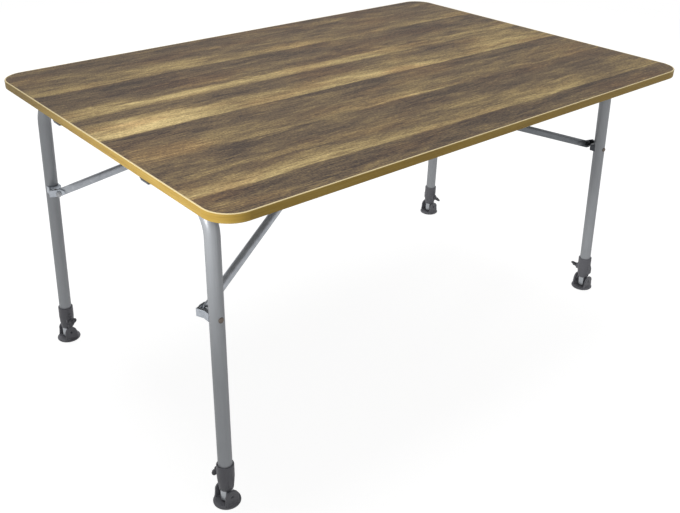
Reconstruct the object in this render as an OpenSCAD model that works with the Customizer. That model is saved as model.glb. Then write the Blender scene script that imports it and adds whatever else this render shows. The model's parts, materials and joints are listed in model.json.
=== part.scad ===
// Folding camping table with telescopic legs.
// Two U-shaped tube frames hang from saddles under the board and fold up against it.
// Four struts hook onto keeper pins under the middle and hold the frames apart.
// The origin is on the floor below the middle of the board, X runs along the board and Z is up.
// Every corner is modelled at the front left and mirrored to its place.

/* [Table top] */
// Length of the table top
top_l = 1150; // [1050:10:1300]
// Width of the table top
top_w = 790; // [740:10:900]
// Height of the top surface with the feet pushed in
top_h = 583; // [570:1:620]
// Thickness of the board
top_t = 15; // [14:1:20]
// Corner radius of the table top in plan
corner_r = 48; // [30:2:80]
// Thickness of the edge band
band_t = 2.6; // [1.6:0.2:4]
// Radius on the two long edges of the edge band
band_round = 1.2; // [0.6:0.2:1.4]
// Depth of the edge band's tongue in the board
tongue_l = 7; // [4:1:12]
// Thickness of the edge band's tongue
tongue_t = 2; // [1.5:0.5:3]

/* [Leg frames] */
// Outer diameter of the leg tube
leg_d = 25; // [24:0.5:26]
// Wall of the leg tube
leg_wall = 1.5; // [1:0.1:2]
// Bend radius of the leg tube at its centre line
bend_r = 50; // [45:1:60]
// Distance of each hinge axis from the end of the table top
hinge_inset = 45; // [42:1:70]
// Depth of the left hinge axis below the board
left_drop = 15; // [15:1:18]
// Depth of the right hinge axis below the board, so that its frame folds under the left one
right_drop = 39; // [38:1:44]
// Half width of the left frame at its crossbar
left_half = 297; // [290:1:310]
// Half width of the right frame at its crossbar
right_half = 251; // [246:1:256]
// Outward lean of both frames
end_splay = 1.8; // [1:0.1:2.2]
// Sideways splay of the left legs
left_splay = 2.3; // [2:0.1:2.6]
// Sideways splay of the right legs
right_splay = 2; // [1.8:0.1:2.4]
// Height of the leg tube's open end
tube_end_h = 42; // [40:1:44]

/* [Hinge saddles] */
// Distance of each saddle from the table's long centre line
saddle_y = 160; // [140:5:170]
// Length of a saddle along the crossbar
saddle_l = 30; // [24:1:36]
// Half width of a saddle across the crossbar
saddle_half = 32; // [30:1:34]
// Slope of the saddle's ends towards the board
saddle_slope = 5; // [2:1:8]
// Thickness of the saddle strap
strap_t = 2; // [1.5:0.5:2.5]
// Distance from the strap's sides to the saddle's sides
strap_margin = 3; // [1:0.5:4]
// Distance of each saddle screw from the crossbar's axis
saddle_screw_x = 24; // [22:1:25]
// Shank diameter of the wood screws
wood_screw_d = 4.5; // [4:0.5:5]
// Head diameter of the wood screws
wood_head_d = 8.6; // [8:0.2:10]
// Height of the wood screws' heads
wood_head_h = 2.4; // [2:0.2:3]
// Depth of the wood screws in the board
wood_screw_l = 10; // [8:1:12]

/* [Foot clamps] */
// Height of the clamp sleeve's lower end
sleeve_h = 30; // [28:1:32]
// Length of the clamp sleeve
sleeve_l = 52; // [48:1:60]
// Outer radius of the clamp sleeve at the top
sleeve_r = 15.4; // [15:0.2:17]
// Outer radius of the clamp sleeve at its lower end
sleeve_end_r = 12.9; // [12.4:0.1:13.1]
// Width of the rib on the back of the sleeve
rib_w = 8; // [5:0.5:10]
// Height of the rib over the sleeve's wall
rib_h = 3.4; // [2:0.2:4]
// Radius of the peg hole above the wing screw
peg_r = 1.6; // [1:0.2:2]
// Distance of the peg hole from the wing screw
peg_rise = 17; // [15:0.5:18]
// Radius of the screw boss on the sleeve
boss_r = 8; // [7:0.5:9]
// Distance from the leg's axis to the face of the screw boss
boss_reach = 19; // [18:0.5:20]
// Height of the wing screw
screw_h = 52; // [50:1:56]
// Thread diameter of the wing screw
screw_d = 6; // [5:0.5:7]
// Distance from the leg's axis to the end of the wings
screw_reach = 34; // [33:0.5:35]
// Radius of the round end of each wing
wing_r = 4; // [3:0.5:4.5]
// Distance of each wing's end from the screw's axis
wing_span = 9; // [8:0.5:11]
// Thickness of the wings
wing_t = 3.2; // [2.4:0.2:4]
// Turn of the wings from level
wing_turn = 35; // [0:5:90]
// Wall of the wing screw's hub round its thread
hub_wall = 2.2; // [1.6:0.2:2.6]

/* [Inner legs and feet] */
// Wall of the inner leg tube
inner_wall = 1.2; // [1:0.1:1.6]
// Height of the inner leg tube's upper end
inner_top_h = 260; // [240:5:300]
// Height of the inner leg tube's lower end
inner_end_h = 9; // [8.5:0.5:10]
// Height of the foot's swivel pin
pin_h = 20; // [19.5:0.5:20.5]
// Diameter of the foot's swivel pin
pin_d = 5; // [4:0.5:6]
// Radius of the foot pad
pad_r = 24.5; // [23:0.5:26]
// Thickness of the foot pad in its middle
pad_t = 5; // [4:0.2:5.4]
// Edge radius of the foot pad, as a chamfer
pad_edge = 1.2; // [0.6:0.1:1.4]
// Width of the sloped rim on top of the foot pad
pad_slope = 5; // [3:0.5:7]
// Distance of each foot boss's inner face from the middle of the foot
boss_in = 12.1; // [11.9:0.1:12.6]
// Wall of the foot bosses round the pin
pin_wall = 2.6; // [2:0.2:3.2]
// Distance of each foot ear's inner face from the middle of the foot
ear_in = 14.2; // [14.2:0.1:15]
// Thickness of the foot ears
ear_t = 3.8; // [3:0.2:4.4]
// Radius of the foot ears round the pin
ear_r = 13; // [11:0.5:13.5]

/* [Struts] */
// Height of the strut's lower pivot
bracket_h = 368; // [350:2:385]
// Distance of the strut's lower pivot from the leg's axis
pivot_reach = 33; // [32:0.5:35]
// Outer diameter of the strut tube
strut_d = 16; // [14:0.5:18]
// Wall of the strut tube
strut_wall = 1.2; // [1:0.1:1.5]
// Thickness of the strut's flattened lower end
tongue_flat = 3; // [2.6:0.2:4]
// Width of the strut's flattened lower end
tongue_w = 22; // [20:1:24]
// Length of the strut's flattened lower end from the pivot
tongue_reach = 20; // [16:1:24]
// Length over which the strut tube is pressed flat
flare_l = 14; // [10:1:20]
// Diameter of the pivot bolts
bolt_d = 6; // [5:0.5:6.5]
// Thickness of the leg bracket's ear
bracket_t = 3.5; // [3:0.5:4.5]
// Height of the leg bracket
bracket_w = 24; // [22:1:28]
// Thickness of the leg bracket's back
bracket_back = 5; // [4:0.5:6]
// Depth of the leg bracket's grip round the leg
bracket_grip = 8.5; // [6:0.5:10]
// Thickness of the leg bracket beyond the leg
bracket_web = 4.5; // [4:0.5:6]
// Height of the leg bolt's round head
dome_h = 3; // [2:0.5:4]
// Length of the hook's plug in the strut tube
plug_l = 16; // [12:1:24]

/* [Strut keepers] */
// Distance of each keeper pin from the middle of the table, along it
hook_x = 50; // [40:1:70]
// Distance of each keeper pin from the table's long centre line
hook_y = 59; // [50:1:70]
// Depth of the keeper pins below the board
hook_drop = 28; // [26:1:32]
// Diameter of the keeper pins
keeper_d = 6; // [5:0.5:7]
// Thickness of the strut's hook
blade_t = 4; // [3:0.5:5]
// Height of the strut's hook
blade_w = 18; // [16:1:20]
// Length of the hook from the strut tube to the keeper pin
blade_l = 26; // [24:1:34]
// Thickness of the keeper plate and its cheeks
plate_t = 2.5; // [2:0.5:3]
// Width of the keeper cheeks round their pin
cheek_rim = 5; // [4:0.5:6]
// Distance of the plate's screws from its long sides
plate_screw_in = 8; // [7:0.5:10]
// Length of a keeper pin's riveted end
rivet_l = 1.5; // [1:0.5:2.5]
// Distance from the keeper pins to the ends and sides of the keeper plate
plate_margin = 26; // [24:1:34]

/* [Clearances] */
// Gap round pieces that are pressed or bolted together
seat_gap = 0.05; // [0.02:0.01:0.08]
// Gap round pieces that turn or slide
run_gap = 0.08; // [0.05:0.01:0.1]
// Gap beside pieces that swing past each other
side_gap = 0.3; // [0.2:0.05:0.4]

/* [Hidden] */
$fn = 96;

// The index of each end of the table and of each side, used to mirror a corner to its place
left = 0;
right = 1;
front = 0;
rear = 1;

board_z = top_h - top_t;
hinge_x = top_l / 2 - hinge_inset;
hinge_z = [board_z - left_drop, board_z - right_drop];
frame_half = [left_half, right_half];
splay = [left_splay, right_splay];
leg_r = leg_d / 2;
bore_r = leg_r - leg_wall;
inner_r = bore_r - run_gap;
wood_r = wood_screw_d / 2;
bolt_r = bolt_d / 2;
keeper_r = keeper_d / 2;
strut_r = strut_d / 2;
// Length by which the drawn tube pieces stop short of each other inside their joining rings
tube_joint = 0.4;
// Height of those rings over the tube's wall
joint_step = 0.1;
// Radius of the pivot end of the strut and of the ear beside it
ear_round = tongue_w / 2;
// Distance between the two cheeks of a keeper
cheek_gap = blade_t + 3;
hook_z = board_z - hook_drop;
// Height of a nut or of a hex bolt's head
head_t = 4;
// Overshoot of a cut past the face that it opens
cut = 1;
// Height of the edge chamfers on the moulded pieces
mould_edge = 0.6;

function leg_x(s, h) = -hinge_x - (hinge_z[s] - h) * tan(end_splay);
function leg_y(s, h) = -frame_half[s] - (hinge_z[s] - h) * tan(splay[s]) / cos(end_splay);
function pivot(s) = [leg_x(s, bracket_h), leg_y(s, bracket_h) + pivot_reach, bracket_h];
function keeper(s) = [-hook_x, -hook_y, hook_z];
function strut_run(s) = norm([keeper(s)[0] - pivot(s)[0], keeper(s)[1] - pivot(s)[1]]);
function strut_turn(s) = atan2(keeper(s)[1] - pivot(s)[1], keeper(s)[0] - pivot(s)[0]);
function strut_rise(s) = atan2(hook_z - bracket_h, strut_run(s));
function strut_l(s) = norm(keeper(s) - pivot(s));
// Turns of the strut for each turn of its frame, from hooked to lying beside the leg
function strut_ratio(s) = 1 + strut_rise(s) / 90;
// Direction in which the keeper pin leaves the hook as the frame starts to fold
function exit_angle(s) = atan2(
    strut_ratio(s) * strut_run(s) - (hinge_x - hook_x),
    (hook_z - hinge_z[s]) * cos(strut_turn(s)) - strut_ratio(s) * (hook_z - bracket_h)) - strut_rise(s);

// Mirrors a front left corner to end s and side m
module corner(s, m) {
    mirror([s, 0, 0]) mirror([0, m, 0]) children();
}

// Puts a piece on the front left leg's axis at height h, with Z up the leg and Y inward
module on_leg(s, h) {
    translate([leg_x(s, h), leg_y(s, h), h]) rotate([0, end_splay, 0]) rotate([-splay[s], 0, 0]) children();
}

// Puts a piece at the strut's lower pivot, with X along the strut's plan direction
module at_pivot(s) {
    translate(pivot(s)) rotate([0, 0, strut_turn(s)]) children();
}

// Puts a piece at the strut's lower pivot, with X along the strut
module along_strut(s) {
    at_pivot(s) rotate([0, -strut_rise(s), 0]) children();
}

// Puts a piece at the keeper pin, with Y along the pin
module at_keeper(s) {
    translate(keeper(s)) rotate([0, 0, strut_turn(s)]) children();
}

// A cylinder along Y, from y0 to y1
module y_rod(r, y0, y1) {
    translate([0, y0, 0]) rotate([-90, 0, 0]) cylinder(r = r, h = y1 - y0);
}

// A hexagonal prism along Y, from y0 to y1
module y_hex(across, y0, y1) {
    translate([0, y0, 0]) rotate([-90, 0, 0]) cylinder(d = across / cos(30), h = y1 - y0, $fn = 6);
}

// A rectangle with round corners
module rounded(l, w, r) {
    square([l - 2 * r, w], center = true);
    square([l, w - 2 * r], center = true);
    for (x = [-1, 1], y = [-1, 1])
        translate([x * (l / 2 - r), y * (w / 2 - r)]) circle(r = r);
}

// Sweeps a section round the table's edge, with the section's X outward from the corner's centre
module round_edge() {
    run_x = top_l / 2 - corner_r;
    run_y = top_w / 2 - corner_r;
    for (half_turn = [0, 180]) rotate([0, 0, half_turn]) {
        translate([run_x, run_y, 0]) rotate_extrude(angle = 90) children();
        translate([run_x, run_y, 0]) rotate([90, 0, 0]) linear_extrude(2 * run_y) children();
        translate([run_x, -run_y, 0]) rotate([0, 0, -90]) rotate_extrude(angle = 90) children();
        rotate([0, 0, 90]) translate([run_y, run_x, 0]) rotate([90, 0, 0])
            linear_extrude(2 * run_x) children();
    }
}

// The section of the edge band's tongue, with a gap round it for the groove
module tongue_section(gap) {
    translate([corner_r - band_t - tongue_l - gap, (top_t - tongue_t) / 2 - gap])
        square([tongue_l + gap + band_t / 2, tongue_t + 2 * gap]);
}

// The section of the edge band: a flat strip with two rounded edges and a tongue
module band_section() {
    translate([corner_r - band_t, 0]) {
        square([band_t - band_round, top_t]);
        translate([0, band_round]) square([band_t, top_t - 2 * band_round]);
        for (z = [band_round, top_t - band_round])
            translate([band_t - band_round, z]) circle(r = band_round);
    }
    tongue_section(0);
}

// Places a piece at each of the four keeper plate screws
module each_keeper_screw() {
    for (x = [-1, 1], y = [-1, 1])
        translate([x * hook_x / 3, y * (hook_y + plate_margin - plate_screw_in), board_z]) children();
}

// Places a piece at the screws of both saddles at end s, level with the crossbar's axis
module each_saddle_screw(s) {
    for (m = [front, rear], x = [-1, 1])
        corner(s, m) translate([x * saddle_screw_x - hinge_x, -saddle_y, hinge_z[s]]) children();
}

// A bore for a screw's or a bolt's shank, upward from one cut below the origin
module shank_bore(r, l) {
    translate([0, 0, -cut]) cylinder(r = r + seat_gap, h = l + 2 * cut);
}

module top_board() {
    color("burlywood") difference() {
        translate([0, 0, board_z]) linear_extrude(top_t)
            rounded(top_l - 2 * (band_t + seat_gap), top_w - 2 * (band_t + seat_gap),
                corner_r - band_t - seat_gap);
        translate([0, 0, board_z]) round_edge() tongue_section(seat_gap);
        for (s = [left, right]) each_saddle_screw(s) translate([0, 0, board_z - hinge_z[s]])
            shank_bore(wood_r, wood_screw_l - cut + seat_gap);
        each_keeper_screw() shank_bore(wood_r, wood_screw_l - cut + seat_gap);
    }
}

module edge_band() {
    color("tan") translate([0, 0, board_z]) round_edge() band_section();
}

// Moulded block between the crossbar and the board, with a half round seat
module saddle(s, m) {
    drop = board_z - hinge_z[s];
    color("dimgray") corner(s, m) translate([-hinge_x, -saddle_y, hinge_z[s]]) difference() {
        rotate([90, 0, 0]) linear_extrude(saddle_l, center = true) polygon([
            [-saddle_half, 0], [saddle_half, 0], [saddle_half, drop / 3],
            [saddle_half - saddle_slope, drop], [saddle_slope - saddle_half, drop],
            [-saddle_half, drop / 3]]);
        y_rod(leg_r + run_gap, -saddle_l, saddle_l);
        for (x = [-1, 1]) translate([x * saddle_screw_x, 0, 0]) shank_bore(wood_r, drop);
    }
}

// Pressed strap that holds the crossbar up in its saddle
module strap(s, m) {
    seat_r = leg_r + run_gap;
    color("silver") corner(s, m) translate([-hinge_x, -saddle_y, hinge_z[s]]) difference() {
        rotate([90, 0, 0]) linear_extrude(saddle_l - 2 * strap_margin, center = true) difference() {
            union() {
                circle(r = seat_r + strap_t);
                translate([-saddle_half, -strap_t]) square([2 * saddle_half, strap_t]);
            }
            circle(r = seat_r);
            translate([-saddle_half, 0]) square([2 * saddle_half, 2 * leg_r]);
        }
        for (x = [-1, 1]) translate([x * saddle_screw_x, 0, -strap_t]) shank_bore(wood_r, strap_t);
    }
}

// A pan head screw, with the underside of its head at the origin and its shank upward
module wood_screw(l) {
    // Radius of the sphere that the pan head's rim is cut from
    crown_r = 0.56 * wood_head_d;
    cylinder(r = wood_r, h = l);
    rotate_extrude() intersection() {
        translate([0, wood_head_d / 2 - wood_head_h]) circle(r = crown_r);
        translate([0, -wood_head_h]) square([wood_head_d / 2, wood_head_h]);
    }
}

module saddle_screws() {
    color("silver") for (s = [left, right]) each_saddle_screw(s) translate([0, 0, -strap_t])
        wood_screw(board_z - hinge_z[s] + strap_t + wood_screw_l);
}

// Plate under the middle of the board, with two cheeks for each keeper pin
module keeper_plate() {
    cheek_r = keeper_r + cheek_rim;
    color("silver") difference() {
        union() {
            translate([0, 0, board_z - plate_t]) linear_extrude(plate_t)
                rounded(2 * (hook_x + plate_margin), 2 * (hook_y + plate_margin), plate_screw_in);
            for (s = [left, right], m = [front, rear]) corner(s, m) at_keeper(s)
                for (y = [-cheek_gap / 2 - plate_t, cheek_gap / 2]) {
                    y_rod(cheek_r, y, y + plate_t);
                    translate([-cheek_r, y, 0])
                        cube([2 * cheek_r, plate_t, hook_drop - plate_t / 2]);
                }
        }
        for (s = [left, right], m = [front, rear]) corner(s, m) at_keeper(s)
            y_rod(keeper_r + seat_gap, -cheek_gap - plate_t, cheek_gap + plate_t);
        each_keeper_screw() translate([0, 0, -plate_t]) shank_bore(wood_r, plate_t);
    }
}

// The four riveted pins that the strut hooks hang on
module keeper_pins() {
    reach = cheek_gap / 2 + plate_t + rivet_l;
    color("gray") for (s = [left, right], m = [front, rear]) corner(s, m) at_keeper(s)
        y_rod(keeper_r, -reach, reach);
}

module keeper_screws() {
    color("silver") each_keeper_screw() translate([0, 0, -plate_t]) wood_screw(plate_t + wood_screw_l);
}

// A ring with outer radius r1 and inner radius r0
module ring(r1, r0) {
    difference() {
        circle(r = r1);
        circle(r = r0);
    }
}

// A length of leg tube from the origin along -Y, with a thin ring that joins it to its bend
module straight_tube(l) {
    rotate([90, 0, 0]) translate([0, 0, tube_joint]) linear_extrude(l - tube_joint) ring(leg_r, bore_r);
    rotate([90, 0, 0]) linear_extrude(4 * tube_joint, center = true)
        ring(leg_r + joint_step, bore_r - joint_step);
}

// One bent half of a leg frame: half the crossbar, the bend and the straight leg.
// The bend lies in its own XY plane and each straight starts at one of its ends.
module frame_half_tube(s) {
    b = splay[s];
    cross_half = frame_half[s] - bend_r * tan(45 - b / 2);
    leg_l = ((hinge_z[s] - tube_end_h) / cos(end_splay) - bend_r * (1 - sin(b))) / cos(b);
    // Angle that keeps the bend just short of both straights
    inset = atan(tube_joint / bend_r);
    translate([0, cross_half, -bend_r]) rotate([90, 0, 90]) {
        rotate([0, 0, 90]) translate([bend_r, 0, 0]) mirror([0, 1, 0])
            straight_tube(cross_half + tube_joint);
        rotate([0, 0, b + inset]) rotate_extrude(angle = 90 - b - 2 * inset)
            translate([bend_r, 0]) ring(leg_r, bore_r);
        rotate([0, 0, b]) translate([bend_r, 0, 0]) straight_tube(leg_l);
    }
}

module leg_frame(s) {
    color("slategray") mirror([s, 0, 0]) difference() {
        translate([-hinge_x, 0, hinge_z[s]]) rotate([0, end_splay, 0])
            for (m = [front, rear]) mirror([0, m, 0]) frame_half_tube(s);
        for (m = [front, rear]) mirror([0, m, 0]) {
            on_leg(s, bracket_h) y_rod(bolt_r + seat_gap, -leg_d, leg_d);
            on_leg(s, screw_h) y_rod(screw_d / 2 + side_gap, 2, leg_d);
        }
    }
}

// Tapered clamp sleeve on the end of a leg, with a boss for the wing screw and a rib opposite
module sleeve(s, m) {
    lift = screw_h - sleeve_h;
    taper = 1.4;
    crest = sleeve_r + rib_h;
    color("#55555a") corner(s, m) difference() {
        on_leg(s, sleeve_h) {
            rotate_extrude() polygon([
                [0, 0], [sleeve_end_r - mould_edge, 0], [sleeve_end_r, mould_edge],
                [sleeve_end_r + taper, sleeve_l / 4], [sleeve_r, sleeve_l / 2],
                [sleeve_r, sleeve_l - cut], [sleeve_r - cut, sleeve_l], [0, sleeve_l]]);
            translate([0, 0, lift]) {
                y_rod(boss_r, 0, boss_reach);
                translate([-rib_w / 2, 0, 0]) rotate([90, 0, 90]) linear_extrude(rib_w) polygon([
                    [0, -2 * boss_r], [-sleeve_r - 1, -2 * boss_r + rib_h], [-crest, -boss_r - 1],
                    [-crest, boss_r - rib_h], [-sleeve_r, 2 * boss_r - rib_h], [0, 2 * boss_r]]);
            }
        }
        on_leg(s, tube_end_h) cylinder(r = leg_r + seat_gap, h = sleeve_l);
        on_leg(s, sleeve_h) translate([0, 0, -cut]) cylinder(r = inner_r + run_gap, h = sleeve_l);
        on_leg(s, screw_h) y_rod(screw_d / 2 + run_gap, 0, boss_reach + cut);
        on_leg(s, screw_h + peg_rise) y_rod(peg_r, 0, sleeve_r + cut);
    }
}

// Wing screw that clamps the inner leg, with its wings set at a slant
module wing_screw(s, m) {
    hub_r = screw_d / 2 + hub_wall;
    hub_y = boss_reach + side_gap;
    wing_y = screw_reach - wing_r;
    neck_y = wing_y - wing_r / 2;
    color("#3c3c40") corner(s, m) on_leg(s, screw_h) rotate([0, wing_turn, 0]) {
        y_rod(screw_d / 2, inner_r + side_gap, hub_y + 1);
        y_rod(hub_r, hub_y, neck_y);
        y_rod(hub_r - 1, neck_y, wing_y + 0.5);
        for (flip = [0, 180]) rotate([0, flip, 0])
            translate([0, 0, -wing_t / 2]) linear_extrude(wing_t) {
                polygon([[0, hub_y + 1], [hub_r, hub_y + 1], [wing_span, wing_y - wing_r],
                    [wing_span - wing_r, wing_y], [0, wing_y - 1]]);
                translate([wing_span, wing_y]) circle(r = wing_r);
            }
    }
}

// Telescopic inner leg, drilled across for the foot's pin
module inner_leg(s, m) {
    axis_l = (inner_top_h - inner_end_h) / cos(end_splay) / cos(splay[s]);
    color("lightgray") corner(s, m) difference() {
        on_leg(s, inner_end_h) cylinder(r = inner_r, h = axis_l);
        on_leg(s, inner_end_h) translate([0, 0, -cut])
            cylinder(r = inner_r - inner_wall, h = axis_l + 2 * cut);
        translate([leg_x(s, pin_h), leg_y(s, pin_h), pin_h]) y_rod(pin_d / 2 + run_gap, -leg_d, leg_d);
    }
}

// Round foot with two ears that swivel on a pin across the inner leg
module foot(s, m) {
    rim_h = pad_t - 2 * pad_edge;
    color("#4a4a4e") corner(s, m) translate([leg_x(s, pin_h), leg_y(s, pin_h), 0]) difference() {
        union() {
            rotate_extrude() polygon([[0, 0], [pad_r - pad_edge, 0], [pad_r, pad_edge], [pad_r, rim_h],
                [pad_r - pad_edge, rim_h + pad_edge], [pad_r - pad_slope, pad_t], [0, pad_t]]);
            for (y = [-1, 1]) translate([0, y * (ear_in + ear_t / 2), 0]) rotate([90, 0, 0])
                linear_extrude(ear_t, center = true) {
                    translate([0, pin_h]) circle(r = ear_r);
                    polygon([[-ear_r - 2, pad_t / 2], [ear_r + 2, pad_t / 2], [ear_r, pin_h - 3],
                        [ear_r, pin_h], [-ear_r, pin_h], [-ear_r, pin_h - 3]]);
                }
            for (y = [boss_in, -ear_in - seat_gap])
                translate([0, 0, pin_h]) y_rod(pin_d / 2 + pin_wall, y, y + ear_in - boss_in + seat_gap);
        }
        translate([0, 0, pin_h]) y_rod(pin_d / 2 + seat_gap, -pad_r, pad_r);
    }
}

module foot_pin(s, m) {
    reach = ear_in + ear_t - 1;
    color("silver") corner(s, m) translate([leg_x(s, pin_h), leg_y(s, pin_h), pin_h])
        y_rod(pin_d / 2, -reach, reach);
}

// Bracket that hugs the inside of a leg and reaches round behind the strut's end to its ear
module bracket(s, m) {
    inner_face = tongue_flat / 2 + side_gap;
    outer_face = inner_face + bracket_t;
    back_x = ear_round + 2;
    grip_y = pivot_reach / 2 - 2;
    color("#50545a") corner(s, m) difference() {
        union() {
            on_leg(s, bracket_h) translate([-leg_r, leg_r - bracket_grip, -bracket_w / 2])
                cube([leg_d, bracket_grip + bracket_web, bracket_w]);
            at_pivot(s) {
                translate([-back_x - bracket_back, -grip_y, -bracket_w / 2])
                    cube([bracket_back, grip_y + outer_face, bracket_w]);
                y_rod(bracket_w / 2, inner_face, outer_face);
                translate([-back_x - bracket_back, inner_face, -bracket_w / 2])
                    cube([back_x + bracket_back, bracket_t, bracket_w]);
            }
        }
        on_leg(s, bracket_h) translate([0, 0, -bracket_w]) cylinder(r = leg_r + seat_gap, h = 2 * bracket_w);
        on_leg(s, bracket_h) y_rod(bolt_r + seat_gap, 0, leg_d);
        at_pivot(s) y_rod(bolt_r + seat_gap, 0, leg_d);
    }
}

// Bolt through the leg into its bracket, with a round head outside
module leg_bolt(s, m) {
    dome_r = 2 * dome_h;
    color("silver") corner(s, m) on_leg(s, bracket_h) {
        y_rod(bolt_r, -leg_r - 1, leg_r + bracket_web - 1);
        translate([0, -leg_r - seat_gap, 0]) rotate([90, 0, 0]) rotate_extrude() intersection() {
            translate([0, dome_h - dome_r]) circle(r = dome_r);
            square([dome_r - 0.8, dome_h + 1]);
        }
    }
}

// Hex bolt that the strut turns on, with its nut behind the ear
module pivot_bolt(s, m) {
    head_y = tongue_flat / 2 + side_gap;
    nut_y = head_y + bracket_t + seat_gap;
    color("silver") corner(s, m) at_pivot(s) {
        y_rod(bolt_r, -head_y - 1, nut_y + head_t + 2);
        y_hex(bolt_d + 4, -head_y - head_t, -head_y);
        y_hex(bolt_d + 4, nut_y, nut_y + head_t);
    }
}

// Strut tube, pressed flat at its lower end
module strut(s, m) {
    flare_x = tongue_reach + flare_l;
    // Length of the thin slices that the flare is spanned between
    slice = 0.2;
    color("lightsteelblue") corner(s, m) along_strut(s) difference() {
        union() {
            y_rod(tongue_w / 2, -tongue_flat / 2, tongue_flat / 2);
            translate([0, -tongue_flat / 2, -tongue_w / 2]) cube([tongue_reach, tongue_flat, tongue_w]);
            hull() {
                translate([tongue_reach - slice, -tongue_flat / 2, -tongue_w / 2])
                    cube([slice, tongue_flat, tongue_w]);
                translate([flare_x, 0, 0]) rotate([0, 90, 0])
                    cylinder(r = strut_r, h = slice / 2, $fn = 32);
            }
            translate([flare_x, 0, 0]) rotate([0, 90, 0])
                cylinder(r = strut_r, h = strut_l(s) - blade_l - flare_x);
        }
        translate([flare_x + strut_r / 2, 0, 0]) rotate([0, 90, 0])
            cylinder(r = strut_r - strut_wall, h = strut_l(s));
        y_rod(bolt_r + run_gap, -tongue_w, tongue_w);
    }
}

// Hook in the strut's upper end, with a slanted notch for the keeper pin
module hook(s, m) {
    notch_r = keeper_r + side_gap;
    // The mouth of the notch is a little narrower than its round seat
    mouth = 2 * keeper_r + 1.6 * side_gap;
    tube_end = strut_l(s) - blade_l;
    shoulder_l = 3;
    color("gray") corner(s, m) along_strut(s) {
        translate([tube_end - plug_l, 0, 0]) rotate([0, 90, 0])
            cylinder(r = strut_r - strut_wall - seat_gap, h = plug_l + 1);
        translate([tube_end + seat_gap, 0, 0]) rotate([0, 90, 0]) cylinder(r = strut_r, h = shoulder_l);
        translate([strut_l(s), 0, 0]) rotate([90, 0, 0]) linear_extrude(blade_t, center = true)
            difference() {
                union() {
                    translate([1 - blade_l, -blade_w / 2]) square([blade_l - 1, blade_w]);
                    circle(d = blade_w);
                }
                circle(r = notch_r);
                rotate(exit_angle(s)) translate([0, -mouth / 2]) square([2 * blade_w, mouth]);
            }
    }
}

top_board();
edge_band();
saddle(left, front);  // left_front_saddle
saddle(left, rear);  // left_rear_saddle
saddle(right, front);  // right_front_saddle
saddle(right, rear);  // right_rear_saddle
strap(left, front);  // left_front_strap
strap(left, rear);  // left_rear_strap
strap(right, front);  // right_front_strap
strap(right, rear);  // right_rear_strap
saddle_screws();
keeper_plate();
keeper_pins();
keeper_screws();
leg_frame(left);  // left_leg_frame
leg_frame(right);  // right_leg_frame
sleeve(left, front);  // left_front_sleeve
sleeve(left, rear);  // left_rear_sleeve
sleeve(right, front);  // right_front_sleeve
sleeve(right, rear);  // right_rear_sleeve
wing_screw(left, front);  // left_front_wing_screw
wing_screw(left, rear);  // left_rear_wing_screw
wing_screw(right, front);  // right_front_wing_screw
wing_screw(right, rear);  // right_rear_wing_screw
inner_leg(left, front);  // left_front_inner_leg
inner_leg(left, rear);  // left_rear_inner_leg
inner_leg(right, front);  // right_front_inner_leg
inner_leg(right, rear);  // right_rear_inner_leg
foot(left, front);  // left_front_foot
foot(left, rear);  // left_rear_foot
foot(right, front);  // right_front_foot
foot(right, rear);  // right_rear_foot
foot_pin(left, front);  // left_front_foot_pin
foot_pin(left, rear);  // left_rear_foot_pin
foot_pin(right, front);  // right_front_foot_pin
foot_pin(right, rear);  // right_rear_foot_pin
bracket(left, front);  // left_front_bracket
bracket(left, rear);  // left_rear_bracket
bracket(right, front);  // right_front_bracket
bracket(right, rear);  // right_rear_bracket
leg_bolt(left, front);  // left_front_leg_bolt
leg_bolt(left, rear);  // left_rear_leg_bolt
leg_bolt(right, front);  // right_front_leg_bolt
leg_bolt(right, rear);  // right_rear_leg_bolt
pivot_bolt(left, front);  // left_front_pivot_bolt
pivot_bolt(left, rear);  // left_rear_pivot_bolt
pivot_bolt(right, front);  // right_front_pivot_bolt
pivot_bolt(right, rear);  // right_rear_pivot_bolt
strut(left, front);  // left_front_strut
strut(left, rear);  // left_rear_strut
strut(right, front);  // right_front_strut
strut(right, rear);  // right_rear_strut
hook(left, front);  // left_front_hook
hook(left, rear);  // left_rear_hook
hook(right, front);  // right_front_hook
hook(right, rear);  // right_rear_hook
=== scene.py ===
"""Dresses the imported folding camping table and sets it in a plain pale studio.

The CAD model gives every piece its place and size. This script gives each piece its finish,
rounds the edges of the moulded and pressed pieces, adds what is too fine for the solids,
and stands the table in front of the camera as the photograph shows it.
"""

import json
import logging
import math
from dataclasses import dataclass, replace
from enum import Enum
from typing import Any, Iterable, Sequence

import bmesh
import bpy
from mathutils import Matrix, Vector


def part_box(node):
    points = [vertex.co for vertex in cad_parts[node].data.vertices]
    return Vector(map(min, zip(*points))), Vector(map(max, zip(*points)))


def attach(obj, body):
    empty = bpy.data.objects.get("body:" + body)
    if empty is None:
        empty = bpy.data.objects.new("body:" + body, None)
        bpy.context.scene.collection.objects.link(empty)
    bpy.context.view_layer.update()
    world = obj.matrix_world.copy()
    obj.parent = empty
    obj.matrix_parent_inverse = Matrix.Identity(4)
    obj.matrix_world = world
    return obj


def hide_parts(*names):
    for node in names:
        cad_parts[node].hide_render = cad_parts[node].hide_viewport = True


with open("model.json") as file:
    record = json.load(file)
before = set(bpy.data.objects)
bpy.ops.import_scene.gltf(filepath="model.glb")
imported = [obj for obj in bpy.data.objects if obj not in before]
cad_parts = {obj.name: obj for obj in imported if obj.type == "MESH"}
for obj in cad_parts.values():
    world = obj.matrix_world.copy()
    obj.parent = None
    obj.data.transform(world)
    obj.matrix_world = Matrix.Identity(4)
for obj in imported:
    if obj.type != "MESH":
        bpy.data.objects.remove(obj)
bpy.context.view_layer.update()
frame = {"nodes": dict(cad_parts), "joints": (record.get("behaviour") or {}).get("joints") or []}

log = logging.getLogger("camping_table")

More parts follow.
